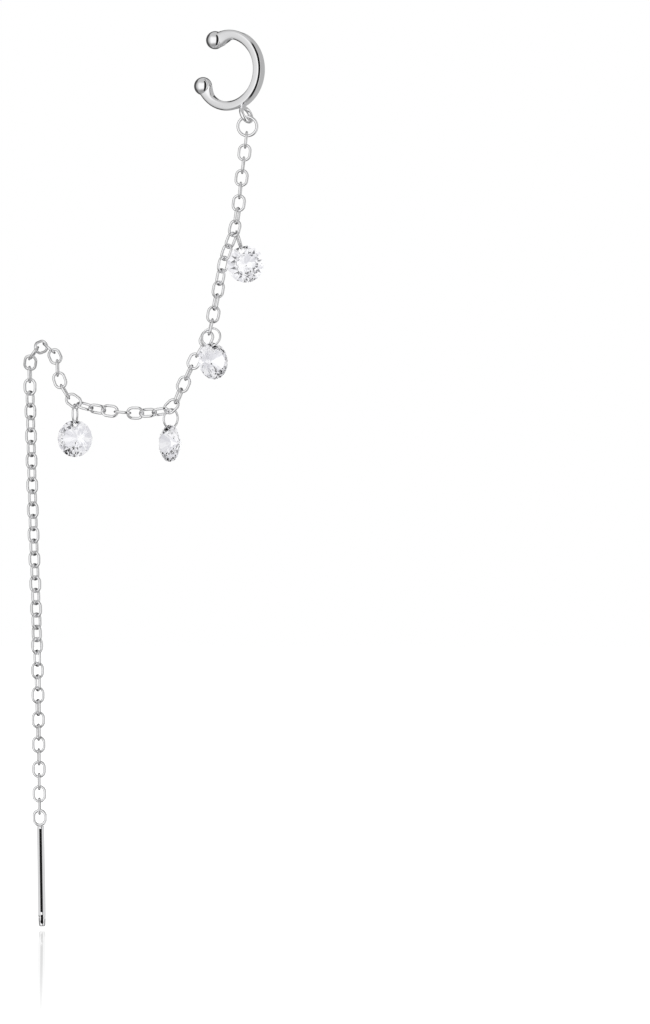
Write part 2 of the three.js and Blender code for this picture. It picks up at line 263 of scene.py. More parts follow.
def grid_faces(rows, columns, close_rows):
    """Faces of a grid of points whose columns close on themselves."""
    faces = []
    for r in range(rows if close_rows else rows - 1):
        for c in range(columns):
            d = (c + 1) % columns
            s = (r + 1) % rows
            faces.append((r * columns + c, r * columns + d, s * columns + d, s * columns + c))
    return faces


def mesh_of(points, faces):
    """A smooth closed mesh with its faces turned outwards."""
    mesh = bpy.data.meshes.new("solid")
    mesh.from_pydata([tuple(p) for p in points], [], faces)
    shell = bmesh.new()
    shell.from_mesh(mesh)
    bmesh.ops.remove_doubles(shell, verts=shell.verts, dist=WELD)
    bmesh.ops.recalc_face_normals(shell, faces=shell.faces)
    for face in shell.faces:
        face.smooth = True
    shell.to_mesh(mesh)
    shell.free()
    return mesh


def wire_ring(radius, wire, reach, place, steps=96, sides=20):
    """A ring of round wire round the Y axis, oval along Z where its reach is longer than its radius."""
    points = []
    for k in range(steps):
        angle = 2 * math.pi * (k + 0.5) / steps
        stretch = math.copysign(reach - radius, math.cos(angle))
        for s in range(sides):
            around = 2 * math.pi * s / sides
            far = radius + wire / 2 * math.cos(around)
            points.append(place @ Vector((
                far * math.sin(angle), wire / 2 * math.sin(around), far * math.cos(angle) + stretch)))
    return mesh_of(points, grid_faces(steps, sides, True))


def lathe(profile, place, sides=64):
    """A solid of revolution round the Z axis from (radius, height) pairs; the ends are on the axis."""
    rows = profile[1:-1]
    points = [place @ Vector((0, 0, profile[0][1])), place @ Vector((0, 0, profile[-1][1]))]
    for radius, height in rows:
        for s in range(sides):
            angle = 2 * math.pi * s / sides
            points.append(place @ Vector((radius * math.cos(angle), radius * math.sin(angle), height)))
    faces = [tuple(2 + k for k in face) for face in grid_faces(len(rows), sides, False)]
    last = 2 + (len(rows) - 1) * sides
    for s in range(sides):
        t = (s + 1) % sides
        faces.append((0, 2 + t, 2 + s))
        faces.append((1, last + s, last + t))
    return mesh_of(points, faces)


def scratch_object(mesh):
    """An object that a mesh borrows while its modifiers work."""
    obj = bpy.data.objects.new(mesh.name, mesh)
    bpy.context.scene.collection.objects.link(obj)
    return obj


def combine(first, others, operation):
    """Joins or cuts closed meshes, and gives back one mesh."""
    base = scratch_object(first)
    tools = [scratch_object(mesh) for mesh in others]
    for tool in tools:
        step = base.modifiers.new("Combine", "BOOLEAN")
        step.operation = operation
        step.solver = "EXACT"
        step.object = tool
    graph = bpy.context.evaluated_depsgraph_get()
    mesh = bpy.data.meshes.new_from_object(base.evaluated_get(graph))
    for obj in [base, *tools]:
        old = obj.data
        bpy.data.objects.remove(obj)
        bpy.data.meshes.remove(old)
    if not mesh.polygons:
        raise RuntimeError(f"{operation} left no faces")
    return mesh


def solder(meshes, crease=math.radians(40)):
    """One closed mesh from meshes that run into each other, smooth but for its creases."""
    mesh = combine(meshes[0], meshes[1:], "UNION")
    mesh.shade_smooth()
    mesh.set_sharp_from_angle(angle=crease)
    return mesh


def add_piece(name, mesh, body, node, material):
    """A finished piece that rides on a body and stands for a node."""
    mesh.name = name
    mesh.materials.clear()
    mesh.materials.append(material)
    obj = bpy.data.objects.new(name, mesh)
    bpy.context.scene.collection.objects.link(obj)
    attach(obj, body)
    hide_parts(node)
    return obj


def middle_of(node):
    low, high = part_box(node)
    return (Vector(low) + Vector(high)) / 2


# ---- materials ----

class Nodes:
    """A few short calls to build a node tree."""

    def __init__(self, tree):
        self.tree = tree

    def add(self, kind, settings=None, **inputs):
        """A new node. Its inputs are given by name, or by number as i0, i1 and so on."""
        node = self.tree.nodes.new(kind)
        for key, value in (settings or {}).items():
            setattr(node, key, value)
        for key, value in inputs.items():
            self.feed(node.inputs[int(key[1:])] if key[0] == "i" and key[1:].isdigit()
                      else node.inputs[key.replace("_", " ")], value)
        return node

    def feed(self, socket, value):
        """Links another node's output to a socket, or sets the socket's value."""
        if isinstance(value, bpy.types.NodeSocket):
            self.tree.links.new(value, socket)
        else:
            socket.default_value = value

    def math(self, operation, a, b=0.0, c=0.0):
        return self.add("ShaderNodeMath", {"operation": operation}, i0=a, i1=b, i2=c).outputs[0]

    def ramp(self, value, low, high, to_low=0.0, to_high=1.0):
        """A smooth change from one value to another, between a low and a high."""
        return self.add("ShaderNodeMapRange", {"interpolation_type": "SMOOTHSTEP"}, Value=value,
                        From_Min=low, From_Max=high, To_Min=to_low, To_Max=to_high).outputs["Result"]

    def mix(self, factor, a, b):
        """A value between two values."""
        return self.add("ShaderNodeMix", i0=factor, i2=a, i3=b).outputs[0]

    def blend(self, factor, a, b):
        """A colour between two colours."""
        return self.add("ShaderNodeMix", {"data_type": "RGBA"}, i0=factor, i6=a, i7=b).outputs[2]


def new_group(name, inputs, outputs):
    """An empty shader node group with named sockets: (name, type, default)."""
    tree = bpy.data.node_groups.new(name, "ShaderNodeTree")
    for label, kind, default in inputs:
        socket = tree.interface.new_socket(name=label, in_out="INPUT", socket_type=kind)
        socket.default_value = default
    for label, kind in outputs:
        tree.interface.new_socket(name=label, in_out="OUTPUT", socket_type=kind)
    nodes = Nodes(tree)
    return nodes, nodes.add("NodeGroupInput"), nodes.add("NodeGroupOutput")


def polish_group():
    """Hand-polished metal: faint waves, hairlines, and roughness that changes a little.

    The noises' scales are in waves per metre.
    """
    if "Hand polish" in bpy.data.node_groups:
        return bpy.data.node_groups["Hand polish"]
    nodes, given, out = new_group(
        "Hand polish",
        [("Colour", "NodeSocketColor", (0.9, 0.9, 0.9, 1)), ("Roughness", "NodeSocketFloat", 0.06),
         ("Wave", "NodeSocketFloat", 0.1), ("Wave size", "NodeSocketFloat", 900.0),
         ("Scratches", "NodeSocketFloat", 0.05), ("Tarnish", "NodeSocketFloat", 0.1)],
        [("Colour", "NodeSocketColor"), ("Roughness", "NodeSocketFloat"), ("Normal", "NodeSocketVector")])
    place = nodes.add("ShaderNodeTexCoord").outputs["Object"]
    slow = nodes.add("ShaderNodeTexNoise", Vector=place, Scale=given.outputs["Wave size"], Detail=1.0)
    fine = nodes.add("ShaderNodeTexNoise", Vector=place, Scale=9000.0, Detail=3.0, Roughness=0.6)
    film = nodes.add("ShaderNodeTexNoise", Vector=place, Scale=420.0, Detail=4.0, Roughness=0.55)
    drawn_out = (1.0, 1.0, 0.12)
    brushed = nodes.add("ShaderNodeMapping", Vector=place, Scale=drawn_out)
    lines = nodes.add("ShaderNodeTexNoise", Vector=brushed.outputs[0], Scale=16000.0, Detail=2.0)
    stain = nodes.ramp(film.outputs["Fac"], 0.45, 0.75)
    dull = nodes.math("MULTIPLY", stain, given.outputs["Tarnish"])
    tarnished, added_roughness = (0.62, 0.6, 0.57, 1), 0.15
    shade = nodes.blend(dull, given.outputs["Colour"], tarnished)
    spread = nodes.math("MULTIPLY_ADD", fine.outputs["Fac"], 0.5, 0.75)
    rough = nodes.math("MULTIPLY", given.outputs["Roughness"], spread)
    rough = nodes.math("ADD", rough, nodes.math("MULTIPLY", dull, added_roughness))
    wave_height, hairline_depth = 0.04 * MM, 0.004 * MM
    wave = nodes.add("ShaderNodeBump", Strength=given.outputs["Wave"], Distance=wave_height,
                     Height=slow.outputs["Fac"])
    hair = nodes.add("ShaderNodeBump", Strength=given.outputs["Scratches"], Distance=hairline_depth,
                     Height=lines.outputs["Fac"], Normal=wave.outputs[0])
    for key, socket in (("Colour", shade), ("Roughness", rough), ("Normal", hair.outputs[0])):
        nodes.feed(out.inputs[key], socket)
    return nodes.tree


def empty_material(name):
    """A new material without nodes."""
    material = bpy.data.materials.new(name)
    material.use_nodes = True
    material.node_tree.nodes.clear()
    return material, Nodes(material.node_tree)


def new_material(name):
    """A material with one shader, or the one of that name, whose nodes aren't given again."""
    material = bpy.data.materials.get(name)
    if material:
        return material, None, None
    material, nodes = empty_material(name)
    shader = nodes.add("ShaderNodeBsdfPrincipled")
    nodes.add("ShaderNodeOutputMaterial", Surface=shader.outputs[0])
    return material, nodes, shader


def silver(name, finish, roughness, wave, wave_size, scratches, tarnish):
    """Polished silver with the hand-polish group's effects."""
    material, nodes, shader = new_material(name)
    if nodes:
        group = nodes.add("ShaderNodeGroup", {"node_tree": polish_group()})
        values = {"Colour": (*finish.silver, 1), "Roughness": roughness, "Wave": wave,
                  "Wave size": wave_size, "Scratches": scratches, "Tarnish": tarnish}
        for key, value in values.items():
            group.inputs[key].default_value = value
        shader.inputs["Metallic"].default_value = 1.0
        nodes.feed(shader.inputs["Base Color"], group.outputs["Colour"])
        nodes.feed(shader.inputs["Roughness"], group.outputs["Roughness"])
        nodes.feed(shader.inputs["Normal"], group.outputs["Normal"])
    return material


def polished_silver(finish):
    return silver("Polished silver", finish, finish.polish,
                  wave=0.08, wave_size=500.0, scratches=0.06, tarnish=0.06)


def chain_silver(finish):
    return silver("Chain silver", finish, finish.chain_polish,
                  wave=0.25, wave_size=1500.0, scratches=0.2, tarnish=0.2)


def clear_stone(finish):
    """Cut cubic zirconia: clear, with the faint lines of the polishing wheel."""
    material, nodes, shader = new_material("Clear stone")
    if nodes:
        shader.inputs["Transmission Weight"].default_value = 1.0
        shader.inputs["IOR"].default_value = finish.stone_ior
        place = nodes.add("ShaderNodeTexCoord").outputs["Object"]
        cloud = nodes.add("ShaderNodeTexNoise", Vector=place, Scale=700.0, Detail=2.0)
        clear, cloudy = (*finish.stone, 1), (0.95, 0.95, 0.97, 1)
        tint = nodes.blend(nodes.ramp(cloud.outputs["Fac"], 0.35, 0.7), clear, cloudy)
        nodes.feed(shader.inputs["Base Color"], tint)
        wheel = nodes.add("ShaderNodeTexNoise", Vector=place, Scale=5000.0, Detail=2.0)
        most_rough = 0.02
        rough = nodes.math("MULTIPLY", wheel.outputs["Fac"], most_rough)
        nodes.feed(shader.inputs["Roughness"], rough)
    return material


# ---- the cuff ----

def smoothstep(value, low, high):
    part = min(1.0, max(0.0, (value - low) / (high - low)))
    return part * part * (3 - 2 * part)


def neck_at(cuff, turned):
    """How much the band has grown inwards at a turn round the C: a rise that is cut off at the neck."""
    whole_rise = 1.0 * MM
    upper = 1 - smoothstep(abs(turned - cuff.upper_turn), 0, cuff.upper_span)
    lower = 1 - smoothstep(abs(turned - cuff.lower_turn), 0, cuff.lower_span)
    return min(cuff.neck, max(upper, lower) * whole_rise)


def band_point(cuff, along, angle):
    """A point of the band: along is 0 to 1 from ball to ball, angle goes round its section.

    The section is a rounded rectangle with its corners taken off. Inside a neck it is an ellipse.
    """
    turned = cuff.upper_turn + (cuff.lower_turn - cuff.upper_turn) * along
    fullness = math.sin(math.pi * along) ** 2
    half_width = (cuff.end_width + (cuff.width - cuff.end_width) * fullness) / 2
    flat = cuff.end_squareness + (cuff.squareness - cuff.end_squareness) * fullness
    crown = cuff.end_squareness + (cuff.crown - cuff.end_squareness) * fullness
    cos, sin = math.cos(angle), math.sin(angle)
    grown = neck_at(cuff, turned) if cos < 0 else 0.0
    rounded = grown / cuff.neck
    out = abs(cos) ** (2 / (crown + (2 - crown) * rounded))
    side = abs(sin) ** (2 / (flat + (2 - flat) * rounded))
    taken = max(out + side - cuff.bevel, 0.0) * cuff.bevel_cut
    out = math.copysign(out - taken, cos) * (cuff.thickness / 2 + grown)
    side = math.copysign(side - taken, sin) * half_width
    radius = cuff.radius + out
    return Vector((radius * math.cos(turned), -side, radius * math.sin(turned)))


def band_mesh(cuff, place, steps=220, sides=96):
    """The band from ball to ball, closed at both ends."""
    points = []
    for k in range(steps + 1):
        for s in range(sides):
            points.append(place @ band_point(cuff, k / steps, 2 * math.pi * s / sides))
    faces = grid_faces(steps + 1, sides, False)
    faces.append(tuple(range(sides)))
    faces.append(tuple(reversed(range(steps * sides, (steps + 1) * sides))))
    return mesh_of(points, faces)


def ball_mesh(cuff, turned, reach, place, sides=96, rows=48):
    """A ball at a turn round the C and a reach from its middle."""
    r = cuff.ball / 2
    middle = Vector((reach * math.cos(turned), 0, reach * math.sin(turned)))
    profile = [(r * math.sin(math.pi * k / rows), -r * math.cos(math.pi * k / rows))
               for k in range(rows + 1)]
    return lathe(profile, place @ Matrix.Translation(middle), sides)


def loop_mesh(cuff, place):
    """The loop stands on the outside of the band, with its hole facing along the band."""
    angle = cuff.loop_place
    out = Vector((math.cos(angle), 0, math.sin(angle)))
    along = Vector((-math.sin(angle), 0, math.cos(angle)))
    middle = out * (cuff.loop_reach - cuff.loop_radius)
    basis = Matrix((out.cross(along), along, out)).transposed().to_4x4()
    return wire_ring(cuff.loop_radius, cuff.loop_wire, cuff.loop_radius,
                     place @ Matrix.Translation(middle) @ basis)


class EARCUFF_OT_cuff(bpy.types.Operator):
    """Build the C-shaped cuff with its balls and soldered loop, and the jump ring"""
    bl_idname = "earcuff.cuff"
    bl_label = "Cuff and jump ring"

    def execute(self, context):
        cuff = context.scene.cuff_sizes
        metal = polished_silver(context.scene.finishes)
        place = Matrix.Rotation(cuff.yaw, 4, "Z")
        whole = solder([
            band_mesh(cuff, place),
            ball_mesh(cuff, cuff.upper_turn, cuff.upper_reach, place),
            ball_mesh(cuff, cuff.lower_turn, cuff.lower_reach, place),
            loop_mesh(cuff, place),
        ])
        add_piece("cuff", whole, "earring", "ear_cuff", metal)
        jump = wire_ring(cuff.jump_radius, cuff.jump_wire, cuff.jump_radius,
                         Matrix.Translation(middle_of("cuff_jump_ring")))
        add_piece("jump_ring", jump, "earring", "cuff_jump_ring", metal)
        return {"FINISHED"}


# ---- the chain ----

def curve_points(points, per_span=120):
    """A centripetal Catmull-Rom curve through the points, as fine points."""
    first = points[0] * 2 - points[1]
    last = points[-1] * 2 - points[-2]
    whole = [first, *points, last]
    fine = []
    for a, b, c, d in zip(whole, whole[1:], whole[2:], whole[3:]):
        t0, t1, t2 = ((q - p).length ** 0.5 for p, q in ((a, b), (b, c), (c, d)))
        start = ((b - a) / t0 - (c - a) / (t0 + t1) + (c - b) / t1) * t1
        end = ((c - b) / t1 - (d - b) / (t1 + t2) + (d - c) / t2) * t1
        for k in range(per_span):
            t = k / per_span
            fine.append(b + start * t + (b * -3 + c * 3 - start * 2 - end) * t * t
                        + (b * 2 - c * 2 + start + end) * t ** 3)
    fine.append(points[-1])
    return fine


class Line:
    """A route that can be asked for the point at a distance along it."""

    def __init__(self, points):
        self.points = curve_points(points)
        self.reached = [0.0]
        for a, b in zip(self.points, self.points[1:]):
            self.reached.append(self.reached[-1] + (b - a).length)

    def at(self, distance):
        """The point at a distance along the route."""
        low, high = 0, len(self.reached) - 1
        while high - low > 1:
            middle = (low + high) // 2
            if self.reached[middle] <= distance:
                low = middle
            else:
                high = middle
        part = (distance - self.reached[low]) / (self.reached[high] - self.reached[low])
        return self.points[low].lerp(self.points[high], part)

    def next_knot(self, start, pitch, halvings=40):
        """The distance of the point that is a straight pitch away."""
        low, high = start, min(self.reached[-1], start + 2 * pitch)
        for _ in range(halvings):
            middle = (low + high) / 2
            if (self.at(middle) - self.at(start)).length < pitch:
                low = middle
            else:
                high = middle
        return high


def down(lean):
    """A way down that leans from the upright."""
    return Matrix.Rotation(lean, 3, FRONT) @ -UP


def twist_at(number):
    """A link's turn about the chain's line, with every other link a quarter turn on."""
    after = max(1, next((k for k, row in enumerate(TWIST) if row[0] >= number), len(TWIST) - 1))
    (a, low), (b, high) = TWIST[after - 1], TWIST[after]
    degrees = low + (high - low) * (number - a) / (b - a)
    return math.radians(degrees + (90 if number % 2 else 0))


def lay_links(scene):
    """Every link as its run, its middle, the way it runs and the way its hole faces."""
    chain, cuff = scene.chain_sizes, scene.cuff_sizes
    to_wire = cuff.jump_radius - (cuff.jump_wire + chain.wire) / 2 - chain.play
    to_knot = to_wire + chain.reach - chain.swag_pitch / 2
    start = middle_of("cuff_jump_ring") + down(cuff.jump_pull) * to_knot
    line = Line([start] + [Vector(row) * MM for row in ROUTE])
    links, at = [], 0.0
    for run, count, pitch in (("swag", chain.swag_links, chain.swag_pitch),
                              ("tail", chain.tail_links, chain.tail_pitch)):
        for _ in range(count):
            after = line.next_knot(at, pitch)
            a, b = line.at(at), line.at(after)
            along = (b - a).normalized()
            face = (FRONT - along * FRONT.dot(along)).normalized()
            hole = Matrix.Rotation(twist_at(len(links) + 1), 3, along) @ face
            links.append({"run": run, "middle": (a + b) / 2, "along": along, "hole": hole})
            at = after
        # The two runs are separate, with play between them, so the tail starts a little further back.
        at -= chain.wire + chain.play - (2 * chain.reach - pitch)
    return links


def link_tree():
    """Geometry nodes: a wire link on every point, turned by the point's own rotation."""
    tree = bpy.data.node_groups.new("Cable chain", "GeometryNodeTree")
    face = tree.interface
    face.new_socket(name="Geometry", in_out="INPUT", socket_type="NodeSocketGeometry")
    for label, kind in (("Width", "Float"), ("Reach", "Float"), ("Wire", "Float"), ("Steps", "Int"),
                        ("Sides", "Int"), ("Material", "Material")):
        face.new_socket(name=label, in_out="INPUT", socket_type="NodeSocket" + kind)
    face.new_socket(name="Geometry", in_out="OUTPUT", socket_type="NodeSocketGeometry")
    nodes = Nodes(tree)
    given, out = nodes.add("NodeGroupInput"), nodes.add("NodeGroupOutput")
    value = {socket.name: socket for socket in given.outputs}
    half_wire = nodes.math("MULTIPLY", value["Wire"], 0.5)
    radius = nodes.math("MULTIPLY", nodes.math("SUBTRACT", value["Width"], value["Wire"]), 0.5)
    oval = nodes.add("GeometryNodeCurvePrimitiveCircle", Resolution=value["Steps"], Radius=radius)
    ends = nodes.add("ShaderNodeSeparateXYZ", Vector=nodes.add("GeometryNodeInputPosition").outputs[0])
    stretch = nodes.math("MULTIPLY", nodes.math("SIGN", ends.outputs["Y"]),
                         nodes.math("SUBTRACT", value["Reach"], radius))
    shift = nodes.add("ShaderNodeCombineXYZ", Y=stretch)
    drawn = nodes.add("GeometryNodeSetPosition", Geometry=oval.outputs["Curve"], Offset=shift.outputs[0])
    section = nodes.add("GeometryNodeCurvePrimitiveCircle", Resolution=value["Sides"], Radius=half_wire)
    wire = nodes.add("GeometryNodeCurveToMesh", Curve=drawn.outputs[0],
                     Profile_Curve=section.outputs["Curve"])
    smooth = nodes.add("GeometryNodeSetShadeSmooth", Geometry=wire.outputs[0])
    own = nodes.add("GeometryNodeInputNamedAttribute", {"data_type": "QUATERNION"}, Name=LINK_TURN)
    placed = nodes.add("GeometryNodeInstanceOnPoints", Points=given.outputs["Geometry"],
                       Instance=smooth.outputs[0], Rotation=own.outputs["Attribute"])
    real = nodes.add("GeometryNodeRealizeInstances", Geometry=placed.outputs[0])
    finished = nodes.add("GeometryNodeSetMaterial", Geometry=real.outputs[0], Material=value["Material"])
    nodes.feed(out.inputs["Geometry"], finished.outputs[0])
    return tree


def chain_mesh(name, tree, links, chain, reach, material):
    """The links of one run as a plain mesh, made by the chain's geometry nodes."""
    spots = bpy.data.meshes.new(name)
    spots.from_pydata([tuple(link["middle"]) for link in links], [], [])
    turns = spots.attributes.new(LINK_TURN, "QUATERNION", "POINT")
    for k, link in enumerate(links):
        side = link["along"].cross(link["hole"])
        basis = Matrix((side, link["along"], side.cross(link["along"]))).transposed()
        turns.data[k].value = basis.to_quaternion()
    obj = scratch_object(spots)
    modifier = obj.modifiers.new("Links", "NODES")
    modifier.node_group = tree
    values = {"Width": chain.width, "Reach": reach, "Wire": chain.wire, "Steps": chain.steps,
              "Sides": chain.sides, "Material": material}
    for socket in tree.interface.items_tree:
        if socket.in_out == "INPUT" and socket.name in values:
            modifier[socket.identifier] = values[socket.name]
    graph = bpy.context.evaluated_depsgraph_get()
    mesh = bpy.data.meshes.new_from_object(obj.evaluated_get(graph))
    obj.modifiers.remove(modifier)
    bpy.data.objects.remove(obj)
    if len(mesh.polygons) < len(links) * chain.steps * chain.sides:
        raise RuntimeError(f"{name} came out without its links")
    return mesh


class EARCUFF_OT_chain(bpy.types.Operator):
    """Build the swag and the tail of the cable chain"""
    bl_idname = "earcuff.chain"
    bl_label = "Cable chain"

    def execute(self, context):
        chain = context.scene.chain_sizes
        metal = chain_silver(context.scene.finishes)
        links = lay_links(context.scene)
        tree = link_tree()
        for run, pitch in (("swag", chain.swag_pitch), ("tail", chain.tail_pitch)):
            own = [link for link in links if link["run"] == run]
            touching = (pitch + chain.wire) / 2
            mesh = chain_mesh(f"{run}_links", tree, own, chain, touching, metal)
            add_piece(f"{run}_links", mesh, "earring", f"{run}_chain", metal)
        return {"FINISHED"}


# ---- the drops ----

def brilliant_mesh(drop, place):
    """A brilliant with its table towards -Y: table, stars, mains, girdle, pavilion and culet."""
    radius = drop.diameter / 2
    table_radius = radius * drop.table
    crown_slope = drop.crown / (radius - table_radius)
    pavilion_slope = drop.pavilion / radius
    between = math.cos(math.pi / 8)
    star_depth = (radius * drop.star_reach * between - table_radius) * crown_slope
    lower_depth = radius * drop.lower_reach * between * pavilion_slope
    top = drop.girdle / 2 + drop.crown
    culet = -drop.girdle / 2 - drop.pavilion
    rows = (
        (8, 0.0, table_radius, top),
        (8, 0.5, radius * drop.star_reach, top - star_depth),
        (16, 0.0, radius, drop.girdle / 2),
        (16, 0.0, radius, -drop.girdle / 2),
        (8, 0.5, radius * drop.lower_reach, culet + lower_depth),
        (1, 0.0, 0.0, culet),
    )
    shell = bmesh.new()
    for count, offset, reach, height in rows:
        for k in range(count):
            angle = 2 * math.pi * (k + offset) / count
            shell.verts.new(place @ Vector((reach * math.sin(angle), -height, reach * math.cos(angle))))
    bmesh.ops.convex_hull(shell, input=shell.verts)
    flat = math.radians(0.3)
    bmesh.ops.dissolve_limit(shell, angle_limit=flat, verts=shell.verts, edges=shell.edges)
    bmesh.ops.recalc_face_normals(shell, faces=shell.faces)
    mesh = bpy.data.meshes.new("brilliant")
    shell.to_mesh(mesh)
    shell.free()
    return mesh


def stone_mesh(drop, place):
    """The brilliant with its hole, whose wall alone is smooth."""
    r, half = drop.hole / 2, drop.diameter / 2
    axis = (place @ Matrix.Translation((0, 0, half - drop.hole_inset))
            @ Matrix.Rotation(drop.hole_slant, 4, "Y").inverted()
            @ Matrix.Rotation(math.pi / 2, 4, "X"))
    profile = [(0, -half), (r, -half), (r, half), (0, half)]
    mesh = combine(brilliant_mesh(drop, place), [lathe(profile, axis, sides=40)], "DIFFERENCE")
    back, wall = axis.inverted(), r * 1.01
    for face in mesh.polygons:
        spot = back @ face.center
        face.use_smooth = math.hypot(spot.x, spot.y) < wall and face.area < r * half
    return mesh


def hanging_pose(turned, lean, tip):
    """Turned about the upright, tipped forward and leaned to the side, as a drop hangs."""
    return (Matrix.Rotation(-lean, 3, "Y") @ Matrix.Rotation(-tip, 3, "X")
            @ Matrix.Rotation(turned, 3, "Z"))


def rest_in(link, chain, ring_wire, slide):
    """The place in a link where a ring hangs, slid round from the lowest point of its hole."""
    radius = (chain.width - chain.wire) / 2
    side = link["hole"].cross(link["along"])
    angle = math.atan2(-side.z * radius, -link["along"].z * chain.reach) + slide
    wire = link["along"] * (chain.reach * math.cos(angle)) + side * (radius * math.sin(angle))
    return link["middle"] + wire.normalized() * (wire.length - (chain.wire + ring_wire) / 2 - chain.play)


def drop_places(drop, chain, links, row):
    """Where a drop's ring and its stone hang, from its row of the table of drops."""
    angle = {key: math.radians(value) for key, value in row.items()}
    ring_pose = hanging_pose(angle["ring_turn"], angle["ring_lean"], angle["ring_tip"])
    stone_pose = hanging_pose(angle["stone_turn"], angle["stone_lean"], 0.0)
    ring_up, stone_up = ring_pose @ UP, stone_pose @ UP
    top = rest_in(links[row["link"] - 1], chain, drop.ring_wire, angle["slide"])
    ring_middle = top - ring_up * drop.ring_radius
    foot = ring_middle - ring_up * drop.ring_radius
    hole_middle = foot - UP * ((drop.hole - drop.ring_wire) / 2 - drop.hole_play)
    stone_middle = hole_middle + stone_up * (drop.hole_inset - drop.diameter / 2)
    return (Matrix.Translation(ring_middle) @ ring_pose.to_4x4(),
            Matrix.Translation(stone_middle) @ stone_pose.to_4x4())


class EARCUFF_OT_drops(bpy.types.Operator):
    """Build the four drops: a wire ring and a drilled brilliant each"""
    bl_idname = "earcuff.drops"
    bl_label = "Drops"

    def execute(self, context):
        scene = context.scene
        drop = scene.drop_sizes
        metal, clear = polished_silver(scene.finishes), clear_stone(scene.finishes)
        links = lay_links(scene)
        for number, values in enumerate(DROPS, 1):
            row = dict(zip(DROP_COLUMNS, values))
            ring_place, stone_place = drop_places(drop, scene.chain_sizes, links, row)
            ring = wire_ring(drop.ring_radius, drop.ring_wire, drop.ring_radius, ring_place)
            add_piece(f"drop_{number}_ring", ring, "earring", f"drop_ring_{number}", metal)
            stone = stone_mesh(drop, stone_place)
            add_piece(f"drop_{number}_stone", stone, "earring", f"stone_{number}", clear)
        return {"FINISHED"}


# ---- the pin ----

class EARCUFF_OT_pin(bpy.types.Operator):
    """Build the threader pin with the ring it hangs by"""
    bl_idname = "earcuff.pin"
    bl_label = "Threader pin"

    def execute(self, context):
        scene = context.scene
        pin, chain = scene.pin_sizes, scene.chain_sizes
        last = lay_links(scene)[-1]
        last_wire = last["middle"] + last["along"] * chain.reach
        drop = (chain.wire + pin.ring_wire) / 2 + chain.play - pin.ring_reach
        place = (Matrix.Translation(last_wire) @ Matrix.Rotation(-pin.lean, 4, "Y")
                 @ Matrix.Translation((0, 0, drop)))
        ring = wire_ring(pin.ring_radius, pin.ring_wire, pin.ring_reach, place)
        radius, foot = pin.diameter / 2, -pin.length
        profile = [(part * radius, foot + height * MM) for part, height in PIN_FOOT]
        profile += [(part * radius, -depth * MM) for part, depth in PIN_TOP]
        top = -pin.ring_reach - pin.ring_wire / 4
        bar = lathe(profile, place @ Matrix.Translation((-pin.ring_offset, 0, top)))
        add_piece("pin", solder([bar, ring]), "pin", "threader_pin", polished_silver(scene.finishes))
        return {"FINISHED"}


# ---- the stage ----

def tent_light(nodes, stage):
    """The tent as polished metal sees it: grey, with a soft lamp, a dark slit and a dark back.

    Turns are in radians to the right of the camera, and heights go from -1 below to 1 above. Each pair
    is where a change starts and ends.
    """
    lamp_left, lamp_right, lamp_top = (-1.5, -0.8), (1.2, 1.7), (0.4, 0.85)
    back_edge, back_top, back_top_shift = (-0.32, 0.1), (0.6, 0.85), 0.45
    slit_top, behind = (0.85, 0.97), (-0.95, -0.88)
    side_change, upper_part, lower_part, slit_softness = (-0.1, 0.1), (0.1, 0.9), (-0.9, -0.1), 0.3
    way = nodes.add("ShaderNodeTexCoord").outputs["Generated"]
    x, y, z = nodes.add("ShaderNodeSeparateXYZ", Vector=way).outputs
    ahead = nodes.math("MULTIPLY", y, -1.0)
    around = nodes.math("ARCTAN2", x, ahead)
    middle = nodes.math("MULTIPLY_ADD", z, stage.slit_tilt, stage.slit_turn)
    past_slit = nodes.math("SUBTRACT", around, middle)
    high = nodes.math("ABSOLUTE", z)
    grey = nodes.ramp(past_slit, *side_change, stage.left, stage.right)
    grey = nodes.math("ADD", grey, nodes.ramp(z, *upper_part, 0.0, stage.above - stage.right))
    grey = nodes.math("ADD", grey, nodes.ramp(z, *lower_part, stage.below - stage.right, 0.0))
    lamp = nodes.math("MULTIPLY", nodes.ramp(around, *lamp_left), nodes.ramp(around, *lamp_right, 1.0, 0.0))
    lamp = nodes.math("MULTIPLY", lamp, nodes.ramp(high, *lamp_top, 1.0, 0.0))
    light = nodes.mix(lamp, grey, stage.lamp)
    edge = nodes.math("ADD", ahead, nodes.ramp(high, *back_top, 0.0, back_top_shift))
    light = nodes.mix(nodes.ramp(edge, *back_edge, 1.0, 0.0), light, stage.back)
    apart = nodes.math("ABSOLUTE", past_slit)
    slit_edge = [stage.slit_width * (1 - slit_softness), stage.slit_width * (1 + slit_softness)]
    inside = nodes.ramp(apart, *slit_edge, 1.0, 0.0)
    inside = nodes.math("MULTIPLY", inside, nodes.ramp(high, *slit_top, 1.0, 0.0))
    light = nodes.mix(inside, light, stage.slit)
    white = 1.0
    return nodes.mix(nodes.ramp(ahead, *behind, 1.0, 0.0), light, white)


def plain_light(nodes, *rgb):
    """Light that is the same from every side."""
    return nodes.add("ShaderNodeBackground", Color=(*rgb, 1)).outputs[0]


